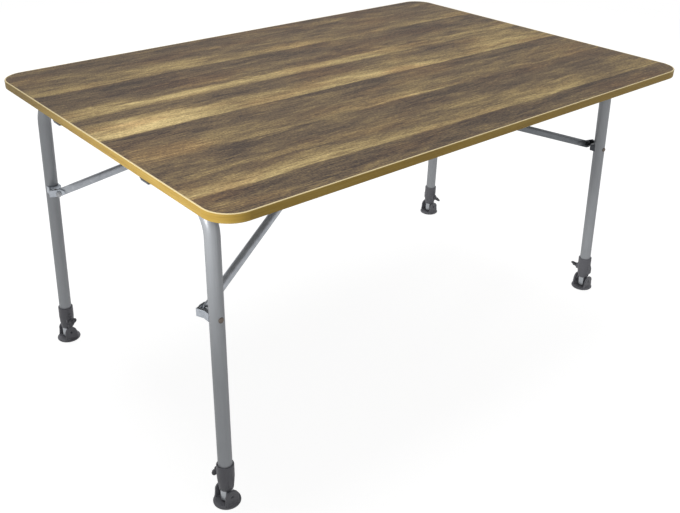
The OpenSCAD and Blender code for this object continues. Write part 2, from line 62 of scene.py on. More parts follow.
MM = 0.001
# Height of the table's upper face in metres
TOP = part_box("top_board")[1].z
# Distances in metres under which points are one, on a copy of a CAD node and on a new form
CAD_WELD = 0.02 * MM
WELD = 0.01 * MM
# Angle in degrees over which the edge between two faces looks sharp
SHARP_ANGLE = 40.0

Point = tuple[float, float, float]
Tint = tuple[float, float, float, float]
Socket = bpy.types.NodeSocket
Tree = bpy.types.NodeTree
Shape = bmesh.types.BMesh
# A soft patch of the print: its middle, half length and half width in mm, and its change of tone
Patch = tuple[float, float, float, float, float]


class End(Enum):
    """The two ends of the table, each with its own leg frame."""

    LEFT = "left"
    RIGHT = "right"


class Side(Enum):
    """The two long sides of the table."""

    FRONT = "front"
    REAR = "rear"


class Slot(Enum):
    """The record's material slots."""

    BOARD = "wood_decor_board"
    BAND = "edge_band"
    LEG_TUBE = "grey_tube"
    INNER_TUBE = "inner_tube"
    STRUT_TUBE = "zinc_tube"
    PRESSED = "zinc_steel"
    FASTENER = "bolt_steel"
    BRACKET = "bracket_steel"
    SADDLE = "dark_plastic"
    MOULDED = "grey_plastic"


@dataclass(frozen=True)
class Corner:
    """One of the table's four corners.

    Attributes:
        end: The end of the table.
        side: The long side of the table.
    """

    end: End
    side: Side

    @property
    def place(self) -> str:
        """Names the corner as its nodes do, such as "left_front"."""
        return f"{self.end.value}_{self.side.value}"

    @property
    def frame_body(self) -> str:
        """Names the body of the corner's leg frame."""
        return f"{self.end.value}_frame"


CORNERS = [Corner(end, side) for end in End for side in Side]


def linear(colour: str, alpha: float = 1.0) -> Tint:
    """Turns an sRGB hex colour into linear light.

    Args:
        colour: Six hex digits with a leading hash, such as "#8c7a5c".
        alpha: Opacity.

    Returns:
        Red, green, blue and alpha for a shader socket.
    """
    channels = [int(colour[i : i + 2], 16) / 255 for i in (1, 3, 5)]
    red, green, blue = (
        c / 12.92 if c <= 0.04045 else ((c + 0.055) / 1.055) ** 2.4 for c in channels
    )
    return red, green, blue, alpha


def add_node(
    tree: Tree,
    kind: str,
    settings: dict[str | int, Any] | None = None,
    links: dict[str | int, Socket] | None = None,
) -> bpy.types.Node:
    """Adds one shader node with its settings and links.

    Args:
        tree: The node tree that takes the node.
        kind: Blender's type name of the node, without its leading "ShaderNode".
        settings: Attributes in lower case, and input sockets by name or number, with values.
        links: Input sockets by name or number, with the sockets that feed them.

    Returns:
        The new node.
    """
    node = tree.nodes.new("ShaderNode" + kind)
    for name, value in (settings or {}).items():
        if isinstance(name, str) and name.islower():
            setattr(node, name, value)
    for name, value in (settings or {}).items():
        if not (isinstance(name, str) and name.islower()):
            node.inputs[name].default_value = value
    for name, socket in (links or {}).items():
        tree.links.new(socket, node.inputs[name])
    return node


@dataclass(frozen=True)
class Grain:
    """A noise pattern with its own size along each axis.

    Attributes:
        size: Size of one grain along X, Y and Z in millimetres.
        gain: Change of tone from the darkest to the lightest grain.
        detail: Number of finer octaves.
        distortion: How far the pattern is pulled out of line.
        seed: Shift of the pattern in millimetres, which tells two like patterns apart.
    """

    size: Point
    gain: float
    detail: float = 3.0
    distortion: float = 0.0
    seed: float = 0.0

    def drawn(self, tree: Tree, place: Socket) -> Socket:
        """Draws the noise.

        Args:
            tree: The material's node tree.
            place: The position that the pattern follows, in metres.

        Returns:
            A value about 0.5, from 0 to 1.
        """
        mapping = add_node(
            tree,
            "Mapping",
            {
                "Location": (self.seed, self.seed, 0.0),
                "Scale": tuple(1 / (s * MM) for s in self.size),
            },
            {"Vector": place},
        )
        noise = add_node(
            tree,
            "TexNoise",
            {"Scale": 1.0, "Detail": self.detail, "Distortion": self.distortion},
            {"Vector": mapping.outputs["Vector"]},
        )
        return noise.outputs["Fac"]

    def layer(self, tree: Tree, place: Socket) -> tuple[Socket, float]:
        """Draws the noise and gives it with its gain, as layered takes it."""
        return self.drawn(tree, place), self.gain


def layered(tree: Tree, base: Socket | float, layers: Iterable[tuple[Socket, float]]) -> Socket:
    """Adds patterns to a tone, each centred so that the mean stays.

    Args:
        tree: The material's node tree.
        base: The tone to start from.
        layers: Patterns with a mean of one half, each with its gain.

    Returns:
        The sum.
    """
    total = base
    for pattern, gain in layers:
        settings = {"operation": "MULTIPLY_ADD", 1: gain}
        links = {0: pattern}
        shifted = add_node(tree, "Math", {"operation": "SUBTRACT", 1: 0.5}, links)
        links = {0: shifted.outputs[0]}
        if isinstance(total, float):
            settings[2] = total
        else:
            links[2] = total
        total = add_node(tree, "Math", settings, links).outputs[0]
    return total


def fill_ramp(node: bpy.types.Node, stops: Sequence[tuple[float, Tint]]) -> None:
    """Gives a colour ramp its stops.

    Args:
        node: The Color Ramp node.
        stops: Positions from 0 to 1 in rising order, each with its linear colour.
    """
    elements = node.color_ramp.elements
    while len(elements) < len(stops):
        elements.new(1.0)
    for element, (position, colour) in zip(elements, stops):
        element.position = position
        element.color = colour


def new_material(name: str) -> tuple[bpy.types.Material, Tree, bpy.types.Node]:
    """Starts a material with one Principled shader on its output.

    Args:
        name: The material's name.

    Returns:
        The material, its node tree and the shader.
    """
    material = bpy.data.materials.new(name)
    material.use_nodes = True
    tree = material.node_tree
    tree.nodes.clear()
    shader = add_node(tree, "BsdfPrincipled")
    add_node(tree, "OutputMaterial", links={"Surface": shader.outputs["BSDF"]})
    return material, tree, shader


def set_shader(shader: bpy.types.Node, values: dict[str, Any]) -> None:
    """Sets uniform values on the shader's own sockets.

    Args:
        shader: The Principled shader.
        values: Socket names with their values.
    """
    for name, value in values.items():
        shader.inputs[name].default_value = value


@dataclass(frozen=True)
class PlankDecor:
    """Melamine-faced board with a printed plank decor.

    The print gives the eye old sawn planks of one dark wood: each plank starts dark at its rear
    edge and runs out pale to the next one's dark edge. The face is matt, with a shallow texture.

    Attributes:
        top: Height of the board's upper face in metres.
        skew: Sideways run of the plank lines for each unit along the table.
        shades: The print's colours from its darkest to its lightest tone, as shares and sRGB hex.
        planks: Tone across the table from front to rear, as distances from the middle in
            millimetres and tones from 0 to 1. Two stops close together are a plank's edge.
        patches: Soft pale and dark patches laid on the planks' tone, the pale ones mostly along the
            left end.
        patch_core: Distance from a patch's middle at which it starts to fade, as a share of its
            half length and half width.
        patch_rim: Distance at which it is gone.
        ripples: The grains that are laid over the planks, from the broadest to the finest.
        edge_wave: The grain that bends the planks' edges, with its gain in metres.
        rosy: Clouds of reddish heartwood.
        rosy_from: Values of those clouds at which the tint starts and is full.
        rosy_share: Share of the tint where it is full.
        rosy_tint: The tint, as sRGB hex.
        backing: The paper under the board, as sRGB hex.
        face_depth: Depth in millimetres down to which the print shows.
        relief: Depth of the face's texture in millimetres.
        relief_share: Share of that depth that the shading shows.
    """

    top: float
    skew: float = 0.02
    shades: tuple[tuple[float, str], ...] = (
        (0.0, "#352b25"),
        (0.25, "#61513f"),
        (0.5, "#8d7953"),
        (0.75, "#bea774"),
        (1.0, "#efd698"),
    )
    planks: tuple[tuple[float, float], ...] = (
        (-395.0, 0.27), (-345.0, 0.22), (-329.5, 0.20), (-328.0, 0.50), (-315.0, 0.44),
        (-285.0, 0.36), (-240.0, 0.23), (-182.5, 0.20), (-180.5, 0.37), (-160.0, 0.33),
        (-110.0, 0.28), (-54.5, 0.22), (-52.5, 0.60), (-20.0, 0.52), (5.0, 0.40), (30.0, 0.30),
        (57.0, 0.24), (59.5, 0.50), (88.0, 0.56), (95.0, 0.34), (120.0, 0.28), (165.0, 0.21),
        (212.0, 0.21), (214.5, 0.47), (240.0, 0.38), (280.0, 0.29), (340.0, 0.235),
        (395.0, 0.22),
    )
    patches: tuple[Patch, ...] = (
        (-480.0, 225.0, 200.0, 20.0, 0.13), (-520.0, 310.0, 90.0, 20.0, 0.12),
        (-260.0, 258.0, 120.0, 34.0, 0.14), (-500.0, 100.0, 110.0, 22.0, 0.18),
        (-380.0, 78.0, 230.0, 16.0, 0.14), (-500.0, -20.0, 170.0, 42.0, 0.27),
        (-530.0, -190.0, 120.0, 80.0, 0.13), (-450.0, -314.0, 260.0, 24.0, 0.23),
        (250.0, 78.0, 110.0, 20.0, -0.12), (480.0, 20.0, 160.0, 45.0, 0.14),
        (440.0, -168.0, 120.0, 12.0, 0.16), (-10.0, -176.0, 90.0, 7.0, 0.24),
        (50.0, -262.0, 90.0, 20.0, 0.15), (290.0, -275.0, 70.0, 13.0, 0.17),
        (-420.0, -205.0, 60.0, 34.0, -0.18), (-40.0, 200.0, 90.0, 28.0, -0.10),
        (300.0, 28.0, 110.0, 22.0, -0.10), (0.0, -18.0, 110.0, 26.0, 0.08),
    )
    ripples: tuple[Grain, ...] = (
        Grain(size=(260.0, 46.0, 90.0), gain=0.60, detail=2.0, distortion=0.6, seed=3.1),
        Grain(size=(90.0, 16.0, 50.0), gain=0.62, distortion=0.9, seed=7.7),
        Grain(size=(50.0, 3.4, 20.0), gain=0.60, detail=4.0, distortion=0.3, seed=1.3),
        Grain(size=(11.0, 1.9, 9.0), gain=0.62, detail=2.0, seed=2.2),
        # The print's cross-sawn marks are about 1 mm wide. They are drawn wider so that they show.
        Grain(size=(2.6, 5.0, 9.0), gain=0.54, detail=2.0, seed=5.9),
    )
    patch_core: float = 0.2
    patch_rim: float = 1.25
    edge_wave: Grain = Grain(size=(120.0, 60.0, 60.0), gain=0.008)
    rosy: Grain = Grain(size=(190.0, 60.0, 60.0), gain=1.0, detail=2.0, seed=11.0)
    rosy_from: tuple[float, float] = (0.48, 0.70)
    rosy_share: float = 0.5
    rosy_tint: str = "#f0d6d0"
    backing: str = "#948f88"
    face_depth: float = 1.0
    relief: float = 0.15
    relief_share: float = 0.35

    def cloud(self, tree: Tree, place: Socket, patch: Patch) -> Socket:
        """Draws one soft patch of the print.

        Args:
            tree: The material's node tree.
            place: Position along the planks and across them, in metres.
            patch: The patch.

        Returns:
            The change of tone, zero outside the patch.
        """
        x, y, half_l, half_w, change = patch
        mapping = add_node(
            tree,
            "Mapping",
            {
                "vector_type": "TEXTURE",
                "Location": (x * MM, y * MM, 0.0),
                "Scale": (half_l * MM, half_w * MM, 1.0),
            },
            {"Vector": place},
        )
        distance = add_node(
            tree, "VectorMath", {"operation": "LENGTH"}, {0: mapping.outputs["Vector"]}
        )
        fade = add_node(
            tree,
            "MapRange",
            {
                "interpolation_type": "SMOOTHSTEP",
                "From Min": self.patch_core,
                "From Max": self.patch_rim,
                "To Min": change,
                "To Max": 0.0,
            },
            {"Value": distance.outputs["Value"]},
        )
        return fade.outputs["Result"]

    def material(self) -> bpy.types.Material:
        """Builds the printed board.

        Returns:
            The material, with the print on top and a plain backing paper below.
        """
        material, tree, shader = new_material("melamine_plank_print")
        place = add_node(tree, "TexCoord").outputs["Object"]
        axes = add_node(tree, "SeparateXYZ", links={"Vector": place})
        across = add_node(
            tree,
            "Math",
            {"operation": "MULTIPLY_ADD", 1: self.skew},
            {0: axes.outputs["X"], 2: axes.outputs["Y"]},
        )
        across = layered(tree, across.outputs[0], [self.edge_wave.layer(tree, place)])
        rear, front = self.planks[-1][0], self.planks[0][0]
        share = add_node(
            tree,
            "MapRange",
            {"From Min": front * MM, "From Max": rear * MM},
            {"Value": across},
        )
        ramp = add_node(tree, "ValToRGB", links={"Fac": share.outputs["Result"]})
        fill_ramp(
            ramp,
            [((y - front) / (rear - front), (tone, tone, tone, 1.0)) for y, tone in self.planks],
        )
        print_place = add_node(
            tree,
            "CombineXYZ",
            links={"X": axes.outputs["X"], "Y": across},
        ).outputs["Vector"]
        tone = ramp.outputs["Color"]
        for patch in self.patches:
            cloud = self.cloud(tree, print_place, patch)
            tone = add_node(tree, "Math", {"operation": "ADD"}, {0: tone, 1: cloud}).outputs[0]
        grains = [grain.layer(tree, print_place) for grain in self.ripples]
        tone = layered(tree, tone, grains)
        shades = add_node(tree, "ValToRGB", links={"Fac": tone})
        fill_ramp(shades, [(share, linear(colour)) for share, colour in self.shades])
        rosy_start, rosy_full = self.rosy_from
        rosy = add_node(
            tree,
            "MapRange",
            {"From Min": rosy_start, "From Max": rosy_full, "To Max": self.rosy_share},
            {"Value": self.rosy.drawn(tree, place)},
        )
        tinted = add_node(
            tree,
            "Mix",
            {"data_type": "RGBA", "blend_type": "MULTIPLY", 7: linear(self.rosy_tint)},
            {0: rosy.outputs["Result"], 6: shades.outputs["Color"]},
        )
        upper = add_node(
            tree,
            "Math",
            {"operation": "GREATER_THAN", 1: self.top - self.face_depth * MM},
            {0: axes.outputs["Z"]},
        )
        faced = add_node(
            tree,
            "Mix",
            {"data_type": "RGBA", 6: linear(self.backing)},
            {0: upper.outputs[0], 7: tinted.outputs[2]},
        )
        tree.links.new(faced.outputs[2], shader.inputs["Base Color"])
        # The three finer grains are embossed too
        bump = add_node(
            tree,
            "Bump",
            {"Strength": self.relief_share, "Distance": self.relief * MM},
            {"Height": layered(tree, 0.5, grains[-3:])},
        )
        tree.links.new(bump.outputs["Normal"], shader.inputs["Normal"])
        set_shader(shader, {"Roughness": 0.6, "IOR": 1.5, "Specular IOR Level": 0.15})
        return material


@dataclass(frozen=True)
class BandFinish:
    """ABS edge band, extruded and glued on, in a matt ochre.

    The eye sees a plain warm strip with a fine wood figure, and a pale line along its upper
    edge: a painted highlight, the light that the band's rounded upper edge catches.

    Attributes:
        top: Height of the band's upper face in metres.
        line: Depth of the painted highlight along the upper edge, in millimetres.
        line_fade: Depth over which it fades, in millimetres.
        pale: Colour of the painted highlight, as sRGB hex.
        figure: The fine wood figure.
        cloud: Its broad clouds.
        shades: The band's colours from dark to light, as shares and sRGB hex.
    """

    top: float
    line: float = 0.5
    line_fade: float = 0.2
    pale: str = "#e6d3a2"
    figure: Grain = Grain(size=(40.0, 40.0, 1.6), gain=0.5, distortion=0.4)
    cloud: Grain = Grain(size=(120.0, 120.0, 10.0), gain=0.5, detail=2.0, seed=4.0)
    shades: tuple[tuple[float, str], ...] = ((0.15, "#9f7e39"), (0.5, "#bf9d49"), (0.9, "#d3b667"))

    def material(self) -> bpy.types.Material:
        """Builds the edge band's finish.

        Returns:
            The material, with the painted highlight along its upper edge.
        """
        material, tree, shader = new_material("abs_edge_band")
        place = add_node(tree, "TexCoord").outputs["Object"]
        height = add_node(tree, "SeparateXYZ", links={"Vector": place}).outputs["Z"]
        layers = [self.figure.layer(tree, place), self.cloud.layer(tree, place)]
        shades = add_node(tree, "ValToRGB", links={"Fac": layered(tree, 0.5, layers)})
        fill_ramp(shades, [(share, linear(colour)) for share, colour in self.shades])
        # The pale line along the top is a painted highlight, the light that the rounded upper edge
        # catches
        highlight_low = self.top - self.line * MM
        pale = add_node(
            tree,
            "MapRange",
            {"From Min": highlight_low - self.line_fade * MM, "From Max": highlight_low},
            {"Value": height},
        )
        colour = add_node(
            tree,
            "Mix",
            {"data_type": "RGBA", 7: linear(self.pale)},
            {0: pale.outputs["Result"], 6: shades.outputs["Color"]},
        )
        tree.links.new(colour.outputs[2], shader.inputs["Base Color"])
        set_shader(shader, {"Roughness": 0.5, "IOR": 1.54, "Specular IOR Level": 0.25})
        return material


@dataclass(frozen=True)
class Coating:
    """A finish of one colour with a fine texture, for tubes, moulded and pressed pieces.

    Attributes:
        name: What the real finish is.
        light: Its colour where the texture is lightest, as sRGB hex.
        dark: Its colour where the texture is darkest.
        roughness: Mean roughness.
        texture: The grain of the surface.
        metallic: 1 for bare metal.
        bump: Depth of the grain in millimetres.
        unevenness: Change of roughness with the grain and the broad clouds.
        cloud: The broad clouds of the finish.
        span: Tones at which the dark and the light colour are reached.
        bump_share: Share of the grain's depth that the shading shows.
        extras: Other uniform values for the shader.
    """

    name: str
    light: str
    dark: str
    roughness: float
    texture: Grain
    metallic: float = 1.0
    bump: float = 0.04
    unevenness: float = 0.08
    cloud: Grain = Grain(size=(45.0, 45.0, 70.0), gain=0.5, detail=2.0, seed=2.0)
    span: tuple[float, float] = (0.2, 0.8)
    bump_share: float = 0.5
    extras: tuple[tuple[str, Any], ...] = ()

    def material(self) -> bpy.types.Material:
        """Builds the coating.

        Returns:
            The material, with its grain in colour, roughness and bump.
        """
        material, tree, shader = new_material(self.name)
        place = add_node(tree, "TexCoord").outputs["Object"]
        grain = self.texture.drawn(tree, place)
        cloud = self.cloud.drawn(tree, place)
        tone = layered(tree, 0.5, [(grain, self.texture.gain), (cloud, self.cloud.gain)])
        shades = add_node(tree, "ValToRGB", links={"Fac": tone})
        fill_ramp(shades, list(zip(self.span, (linear(self.dark), linear(self.light)))))
        tree.links.new(shades.outputs["Color"], shader.inputs["Base Color"])
        roughness = layered(
            tree, self.roughness, [(cloud, self.unevenness), (grain, self.unevenness)]
        )
        tree.links.new(roughness, shader.inputs["Roughness"])
        bump = add_node(
            tree,
            "Bump",
            {"Strength": self.bump_share, "Distance": self.bump * MM},
            {"Height": grain},
        )
        tree.links.new(bump.outputs["Normal"], shader.inputs["Normal"])
        set_shader(shader, {"Metallic": self.metallic, **dict(self.extras)})
        return material


# Powder coat with a little aluminium flake on drawn tube: a soft satin grey that shows faint
# lines along the tube and a paler sheen at its bends
POWDER_COAT = Coating(
    name="satin_grey_powder_coat",
    light="#bbbec2",
    dark="#a9acb0",
    metallic=0.3,
    roughness=0.42,
    texture=Grain(size=(1.7, 1.7, 45.0), gain=0.45),
    extras=(("Specular IOR Level", 0.2), ("Specular Tint", (0.55, 0.55, 0.55, 1.0))),
)
# Drawn aluminium tube: fine die lines along the tube and a bright, slightly cold sheen
DRAWN_ALUMINIUM = Coating(
    name="drawn_aluminium",
    light="#aeb1b5",
    dark="#919498",
    roughness=0.34,
    texture=Grain(size=(0.9, 0.9, 60.0), gain=0.5),
    bump=0.03,
)
# Zinc plate on steel tube: bright and bluish, with faint clouds from the bath
ZINC_TUBE = Coating(
    name="zinc_plated_tube",
    light="#c6cacf",
    dark="#9a9ea5",
    metallic=0.75,
    roughness=0.48,
    texture=Grain(size=(14.0, 5.0, 9.0), gain=0.7, distortion=0.5),
)
# The same zinc plate, darker and greyer on the struts of the right end: painted shade, as they lie
# in shade
SHADED_ZINC_TUBE = replace(
    ZINC_TUBE,
    name="zinc_tube_painted_shade",
    light="#7f8286",
    dark="#65686c",
    metallic=0.9,
    roughness=0.5,
)
# Zinc plate on pressed sheet: duller than the tube, with a grainy spangle
ZINC_SHEET = Coating(
    name="zinc_plated_sheet",
    light="#a9acb0",
    dark="#82858a",
    roughness=0.38,
    texture=Grain(size=(6.0, 6.0, 6.0), gain=0.8, distortion=0.8),
)
# Bright zinc on screws, bolts and pins: small and shiny
ZINC_FASTENER = Coating(
    name="bright_zinc_fasteners",
    light="#a8aaad",
    dark="#7e8083",
    roughness=0.27,
    texture=Grain(size=(2.0, 2.0, 2.0), gain=0.6, detail=2.0),
    bump=0.02,
)
# Dull grey oxide on the rivets that hold the brackets: darker and browner than the screws
RIVET_STEEL = Coating(
    name="dull_steel_rivets",
    light="#7d736b",
    dark="#544d48",
    roughness=0.44,
    texture=Grain(size=(1.6, 1.6, 1.6), gain=0.6, detail=2.0),
)
# Zinc on the brackets of the left end, lighter and bluer than the zinc sheet: painted light, the
# lit copy of the brackets, whose shaded copy at the right end is nearly black
LIT_BRACKET_ZINC = Coating(
    name="bracket_zinc_painted_light",
    light="#bfc4cb",
    dark="#8e939a",
    metallic=0.95,
    roughness=0.36,
    texture=Grain(size=(5.0, 5.0, 5.0), gain=0.7, distortion=0.6),
    bump=0.05,
)
# Nearly black steel with a dull oily sheen. On the brackets and pivot bolts of the right end it is
# painted shade: the left end's zinc, darkened where that end lies in shade. The feet's pins take it
# too.
DARK_STEEL_AND_SHADE = Coating(
    name="dark_steel_and_painted_shade",
    light="#505256",
    dark="#34363a",
    metallic=0.9,
    roughness=0.4,
    texture=Grain(size=(2.4, 2.4, 2.4), gain=0.6),
)
# Spark-eroded mould texture on glass-filled nylon: matt warm grey with a fine grit
MOULDED_NYLON = Coating(
    name="moulded_grey_nylon",
    light="#88888e",
    dark="#6c6c72",
    metallic=0.0,
    roughness=0.55,
    texture=Grain(size=(1.1, 1.1, 1.1), gain=0.5),
    bump=0.09,
    extras=(("IOR", 1.53), ("Specular IOR Level", 0.45)),
)
# The same nylon in a darker batch for the clamps' wing screws
WING_NYLON = replace(
    MOULDED_NYLON,
    name="moulded_dark_nylon",
    light="#5c5c61",
    dark="#45454a",
    roughness=0.5,
    bump=0.08,
)
# Polypropylene saddles under the board: nearly black, with a waxy half gloss
SADDLE_PLASTIC = Coating(
    name="moulded_polypropylene",
    light="#3b3b3c",
    dark="#2a2a2b",
    metallic=0.0,
    roughness=0.46,
    texture=Grain(size=(1.4, 1.4, 1.4), gain=0.4),
    bump=0.07,
    extras=(("IOR", 1.49),),
)


class Wardrobe:
    """The finishes of the record's slots, each made once."""

    def __init__(self, top: float) -> None:
        """Makes every finish.

        Args:
            top: Height of the table's upper face in metres.
        """
        self.by_slot: dict[Slot, bpy.types.Material] = {
            Slot.BOARD: PlankDecor(top).material(),
            Slot.BAND: BandFinish(top).material(),
            Slot.LEG_TUBE: POWDER_COAT.material(),
            Slot.INNER_TUBE: DRAWN_ALUMINIUM.material(),
            Slot.STRUT_TUBE: ZINC_TUBE.material(),
            Slot.PRESSED: ZINC_SHEET.material(),
            Slot.FASTENER: ZINC_FASTENER.material(),
            Slot.BRACKET: LIT_BRACKET_ZINC.material(),
            Slot.SADDLE: SADDLE_PLASTIC.material(),
            Slot.MOULDED: MOULDED_NYLON.material(),
        }
        self.wing = WING_NYLON.material()
        self.rivet = RIVET_STEEL.material()
        # Nearly black steel: painted shade on the right end's brackets and pivot bolts, and the
        # feet's pins' finish
        self.black = DARK_STEEL_AND_SHADE.material()
        # Darker copy of the zinc tube: painted shade on the struts of the right end
        self.shaded_tube = SHADED_ZINC_TUBE.material()

    def dress(self, node: str, slot: Slot) -> None:
        """Gives a CAD node its finish.

        Args:
            node: The node's name.
            slot: The record's slot of its finish.
        """
        mesh = frame["nodes"][node].data
        mesh.materials.clear()
        mesh.materials.append(self.by_slot[slot])
        log.info("%s is finished as %s", node, slot.value)


def joint_place(name: str) -> tuple[Vector, Vector]:
    """Finds a hinge at rest.

    Args:
        name: The joint's name.

    Returns:
        Its place in metres and its axis as a unit vector.
    """
    joint = next(j for j in frame["joints"] if j["name"] == name)
    return Vector(joint["pos_m"]), Vector(joint["axis"]).normalized()


def placed(origin: Vector, across: Vector, along: Vector) -> Matrix:
    """Works out the matrix that puts a new piece in its place.

    Args:
        origin: The place of its origin in metres.
        across: The unit vector that its X takes, at right angles to along.
        along: The unit vector that its Z takes.

    Returns:
        The matrix.
    """
    turned = Matrix((across, along.cross(across), along)).transposed().to_4x4()
    return Matrix.Translation(origin) @ turned


def sized(middle: Vector, size: Point) -> Matrix:
    """Gives a form of unit size its place and its size, both in millimetres."""
    return Matrix.Translation(middle * MM) @ Matrix.Diagonal((*(s * MM for s in size), 1.0))


def add_piece(
    mesh: bpy.types.Mesh, finish: bpy.types.Material, body: str, node: str
) -> None:
    """Puts a finished mesh on its body in place of a CAD node.

    Args:
        mesh: The mesh, in place, whose name the piece takes.
        finish: Its material.
        body: The body that it rides on.
        node: The CAD node that it stands for.
    """
    mesh.materials.append(finish)
    piece = bpy.data.objects.new(mesh.name, mesh)
    bpy.context.scene.collection.objects.link(piece)
    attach(piece, body)
    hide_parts(node)
    log.info("%s stands for %s on %s with %d faces", mesh.name, node, body, len(mesh.polygons))


def merged_copy(node: str) -> Shape:
    """Copies a CAD node's mesh and joins its loose triangles.

    Args:
        node: The node's name.

    Returns:
        The copy, in place.
    """
    shape = bmesh.new()
    shape.from_mesh(frame["nodes"][node].data)
    bmesh.ops.remove_doubles(shape, verts=shape.verts[:], dist=CAD_WELD)
    return shape


def smooth_mesh(shape: Shape, name: str) -> bpy.types.Mesh:
    """Makes a mesh that is shaded smooth between its sharp edges.

    Args:
        shape: The shape, which this frees.
        name: The mesh's name.

    Returns:
        The mesh.
    """
    for face in shape.faces:
        face.smooth = True
        face.material_index = 0
    mesh = bpy.data.meshes.new(name)
    shape.to_mesh(mesh)
    shape.free()
    mesh.set_sharp_from_angle(angle=math.radians(SHARP_ANGLE))
    return mesh


def fused(shape: Shape, name: str, voxel: float, passes: int) -> bpy.types.Mesh:
    """Runs overlapping forms into one skin with soft edges, as a moulding has.

    Args:
        shape: The forms, which this frees.
        name: The new mesh's name.
        voxel: Size of the skin's grid in millimetres.
        passes: Number of times that the skin is smoothed.

    Returns:
        The closed, smooth mesh.
    """
    rough = bpy.data.meshes.new(name + "_forms")
    shape.to_mesh(rough)
    shape.free()
    holder = bpy.data.objects.new(name + "_forms", rough)
    bpy.context.scene.collection.objects.link(holder)
    remesh = holder.modifiers.new("skin", "REMESH")
    remesh.mode = "VOXEL"
    remesh.voxel_size = voxel * MM
    remesh.use_smooth_shade = True
    smooth = holder.modifiers.new("soften", "SMOOTH")
    smooth.factor = 0.5
    smooth.iterations = passes
    graph = bpy.context.evaluated_depsgraph_get()
    mesh = bpy.data.meshes.new_from_object(holder.evaluated_get(graph))
    mesh.name = name
    bpy.data.objects.remove(holder)
    bpy.data.meshes.remove(rough)
    return mesh


def closed_volume(shape: Shape) -> float | None:
    """Measures a mesh.

    Args:
        shape: The mesh.

    Returns:
        Its volume in cubic metres, or None if an edge is open.
    """
    if any(len(edge.link_faces) != 2 for edge in shape.edges):
        return None
    return shape.calc_volume(signed=True)


@dataclass(frozen=True)
class RoundedCopy:
    """A CAD piece again, with the small edge radii that its making leaves.

    Attributes:
        node: The CAD node that the copy stands for.
        body: The body that it rides on.
        slot: The record's slot of its finish.
        radius: Radius on its edges in millimetres.
        steps: Number of facets round each edge.
        sharp_angle: Angle in degrees over which an edge is rounded.
        flat_angle: Angle in degrees under which two faces become one.
        volume_change: Largest share by which a sound result changes its volume.
        slack: How far a sound result may pass the node's box, in millimetres.
        tries: Shares of the radius in the order in which they are tried.
    """

    node: str
    body: str
    slot: Slot
    radius: float
    steps: int = 2
    sharp_angle: float = 32.0
    flat_angle: float = 0.6
    volume_change: float = 0.06
    slack: float = 0.01
    tries: tuple[float, ...] = (1.0, 0.7, 0.45, 0.25)

    def rounded(self, share: float) -> Shape | None:
        """Rounds the edges of a merged copy.

        Args:
            share: Share of the full radius to try.

        Returns:
            The rounded shape, or None if it came out open or changed its size.
        """
        shape = merged_copy(self.node)
        bmesh.ops.dissolve_limit(
            shape,
            angle_limit=math.radians(self.flat_angle),
            verts=shape.verts[:],
            edges=shape.edges[:],
        )
        before = closed_volume(shape)
        sharp = [
            edge
            for edge in shape.edges
            if edge.is_manifold and edge.calc_face_angle() > math.radians(self.sharp_angle)
        ]
        if before:
            bmesh.ops.bevel(
                shape,
                geom=sharp,
                offset=self.radius * share * MM,
                offset_type="OFFSET",
                segments=self.steps,
                profile=0.5,
                affect="EDGES",
                clamp_overlap=False,
                material=-1,
            )
            after = closed_volume(shape)
            if after and abs(after / before - 1) < self.volume_change and self.fits(shape):
                return shape
        shape.free()
        return None

    def fits(self, shape: Shape) -> bool:
        """Says whether a shape stays inside the CAD node's box.

        Args:
            shape: The shape to test.

        Returns:
            True if it does.
        """
        low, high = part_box(self.node)
        slack = self.slack * MM
        return all(
            low[i] - slack <= vertex.co[i] <= high[i] + slack
            for vertex in shape.verts
            for i in range(3)
        )

    def build(self, wardrobe: Wardrobe, finish: bpy.types.Material | None = None) -> None:
        """Makes the copy, or dresses the CAD node where its edges can't be rounded.

        Args:
            wardrobe: The finishes.
            finish: Another finish than the slot's.
        """
        for share in self.tries:
            shape = self.rounded(share)
            if shape:
                break
        else:
            log.warning("%s keeps its sharp edges", self.node)
            wardrobe.dress(self.node, self.slot)
            return
        mesh = smooth_mesh(shape, self.node + "_rounded")
        add_piece(mesh, finish or wardrobe.by_slot[self.slot], self.body, self.node)


@dataclass(frozen=True)
class TableTop:
    """The board, its edge band, and what is screwed under it.

    Attributes:
        body: The body that all of it rides on.
        saddle_radius: Radius on the moulded saddles' edges in millimetres.
        sheet_radius: Radius on the pressed pieces' edges in millimetres.
        fastener_radius: Radius on the screws' and pins' edges in millimetres.
    """

    body: str = "table_top"
    saddle_radius: float = 0.9
    sheet_radius: float = 0.5
    fastener_radius: float = 0.35

    def build(self, wardrobe: Wardrobe) -> None:
        """Dresses the top and rounds the pieces under it.

        Args:
            wardrobe: The finishes.
        """
        wardrobe.dress("top_board", Slot.BOARD)
        wardrobe.dress("edge_band", Slot.BAND)
        RoundedCopy("keeper_plate", self.body, Slot.PRESSED, self.sheet_radius).build(wardrobe)
        for node in ("keeper_pins", "keeper_screws", "saddle_screws"):
            RoundedCopy(node, self.body, Slot.FASTENER, self.fastener_radius).build(wardrobe)
        for corner in CORNERS:
            for name, slot, radius in (
                ("_saddle", Slot.SADDLE, self.saddle_radius),
                ("_strap", Slot.PRESSED, self.sheet_radius),
            ):
                RoundedCopy(corner.place + name, self.body, slot, radius).build(wardrobe)


@dataclass(frozen=True)
class LegFrame:
    """One end's leg frame, a bent tube.

    Attributes:
        end: The end of the table.
    """

    end: End

    def build(self, wardrobe: Wardrobe) -> None:
        """Gives the frame its powder coat."""
        wardrobe.dress(f"{self.end.value}_leg_frame", Slot.LEG_TUBE)


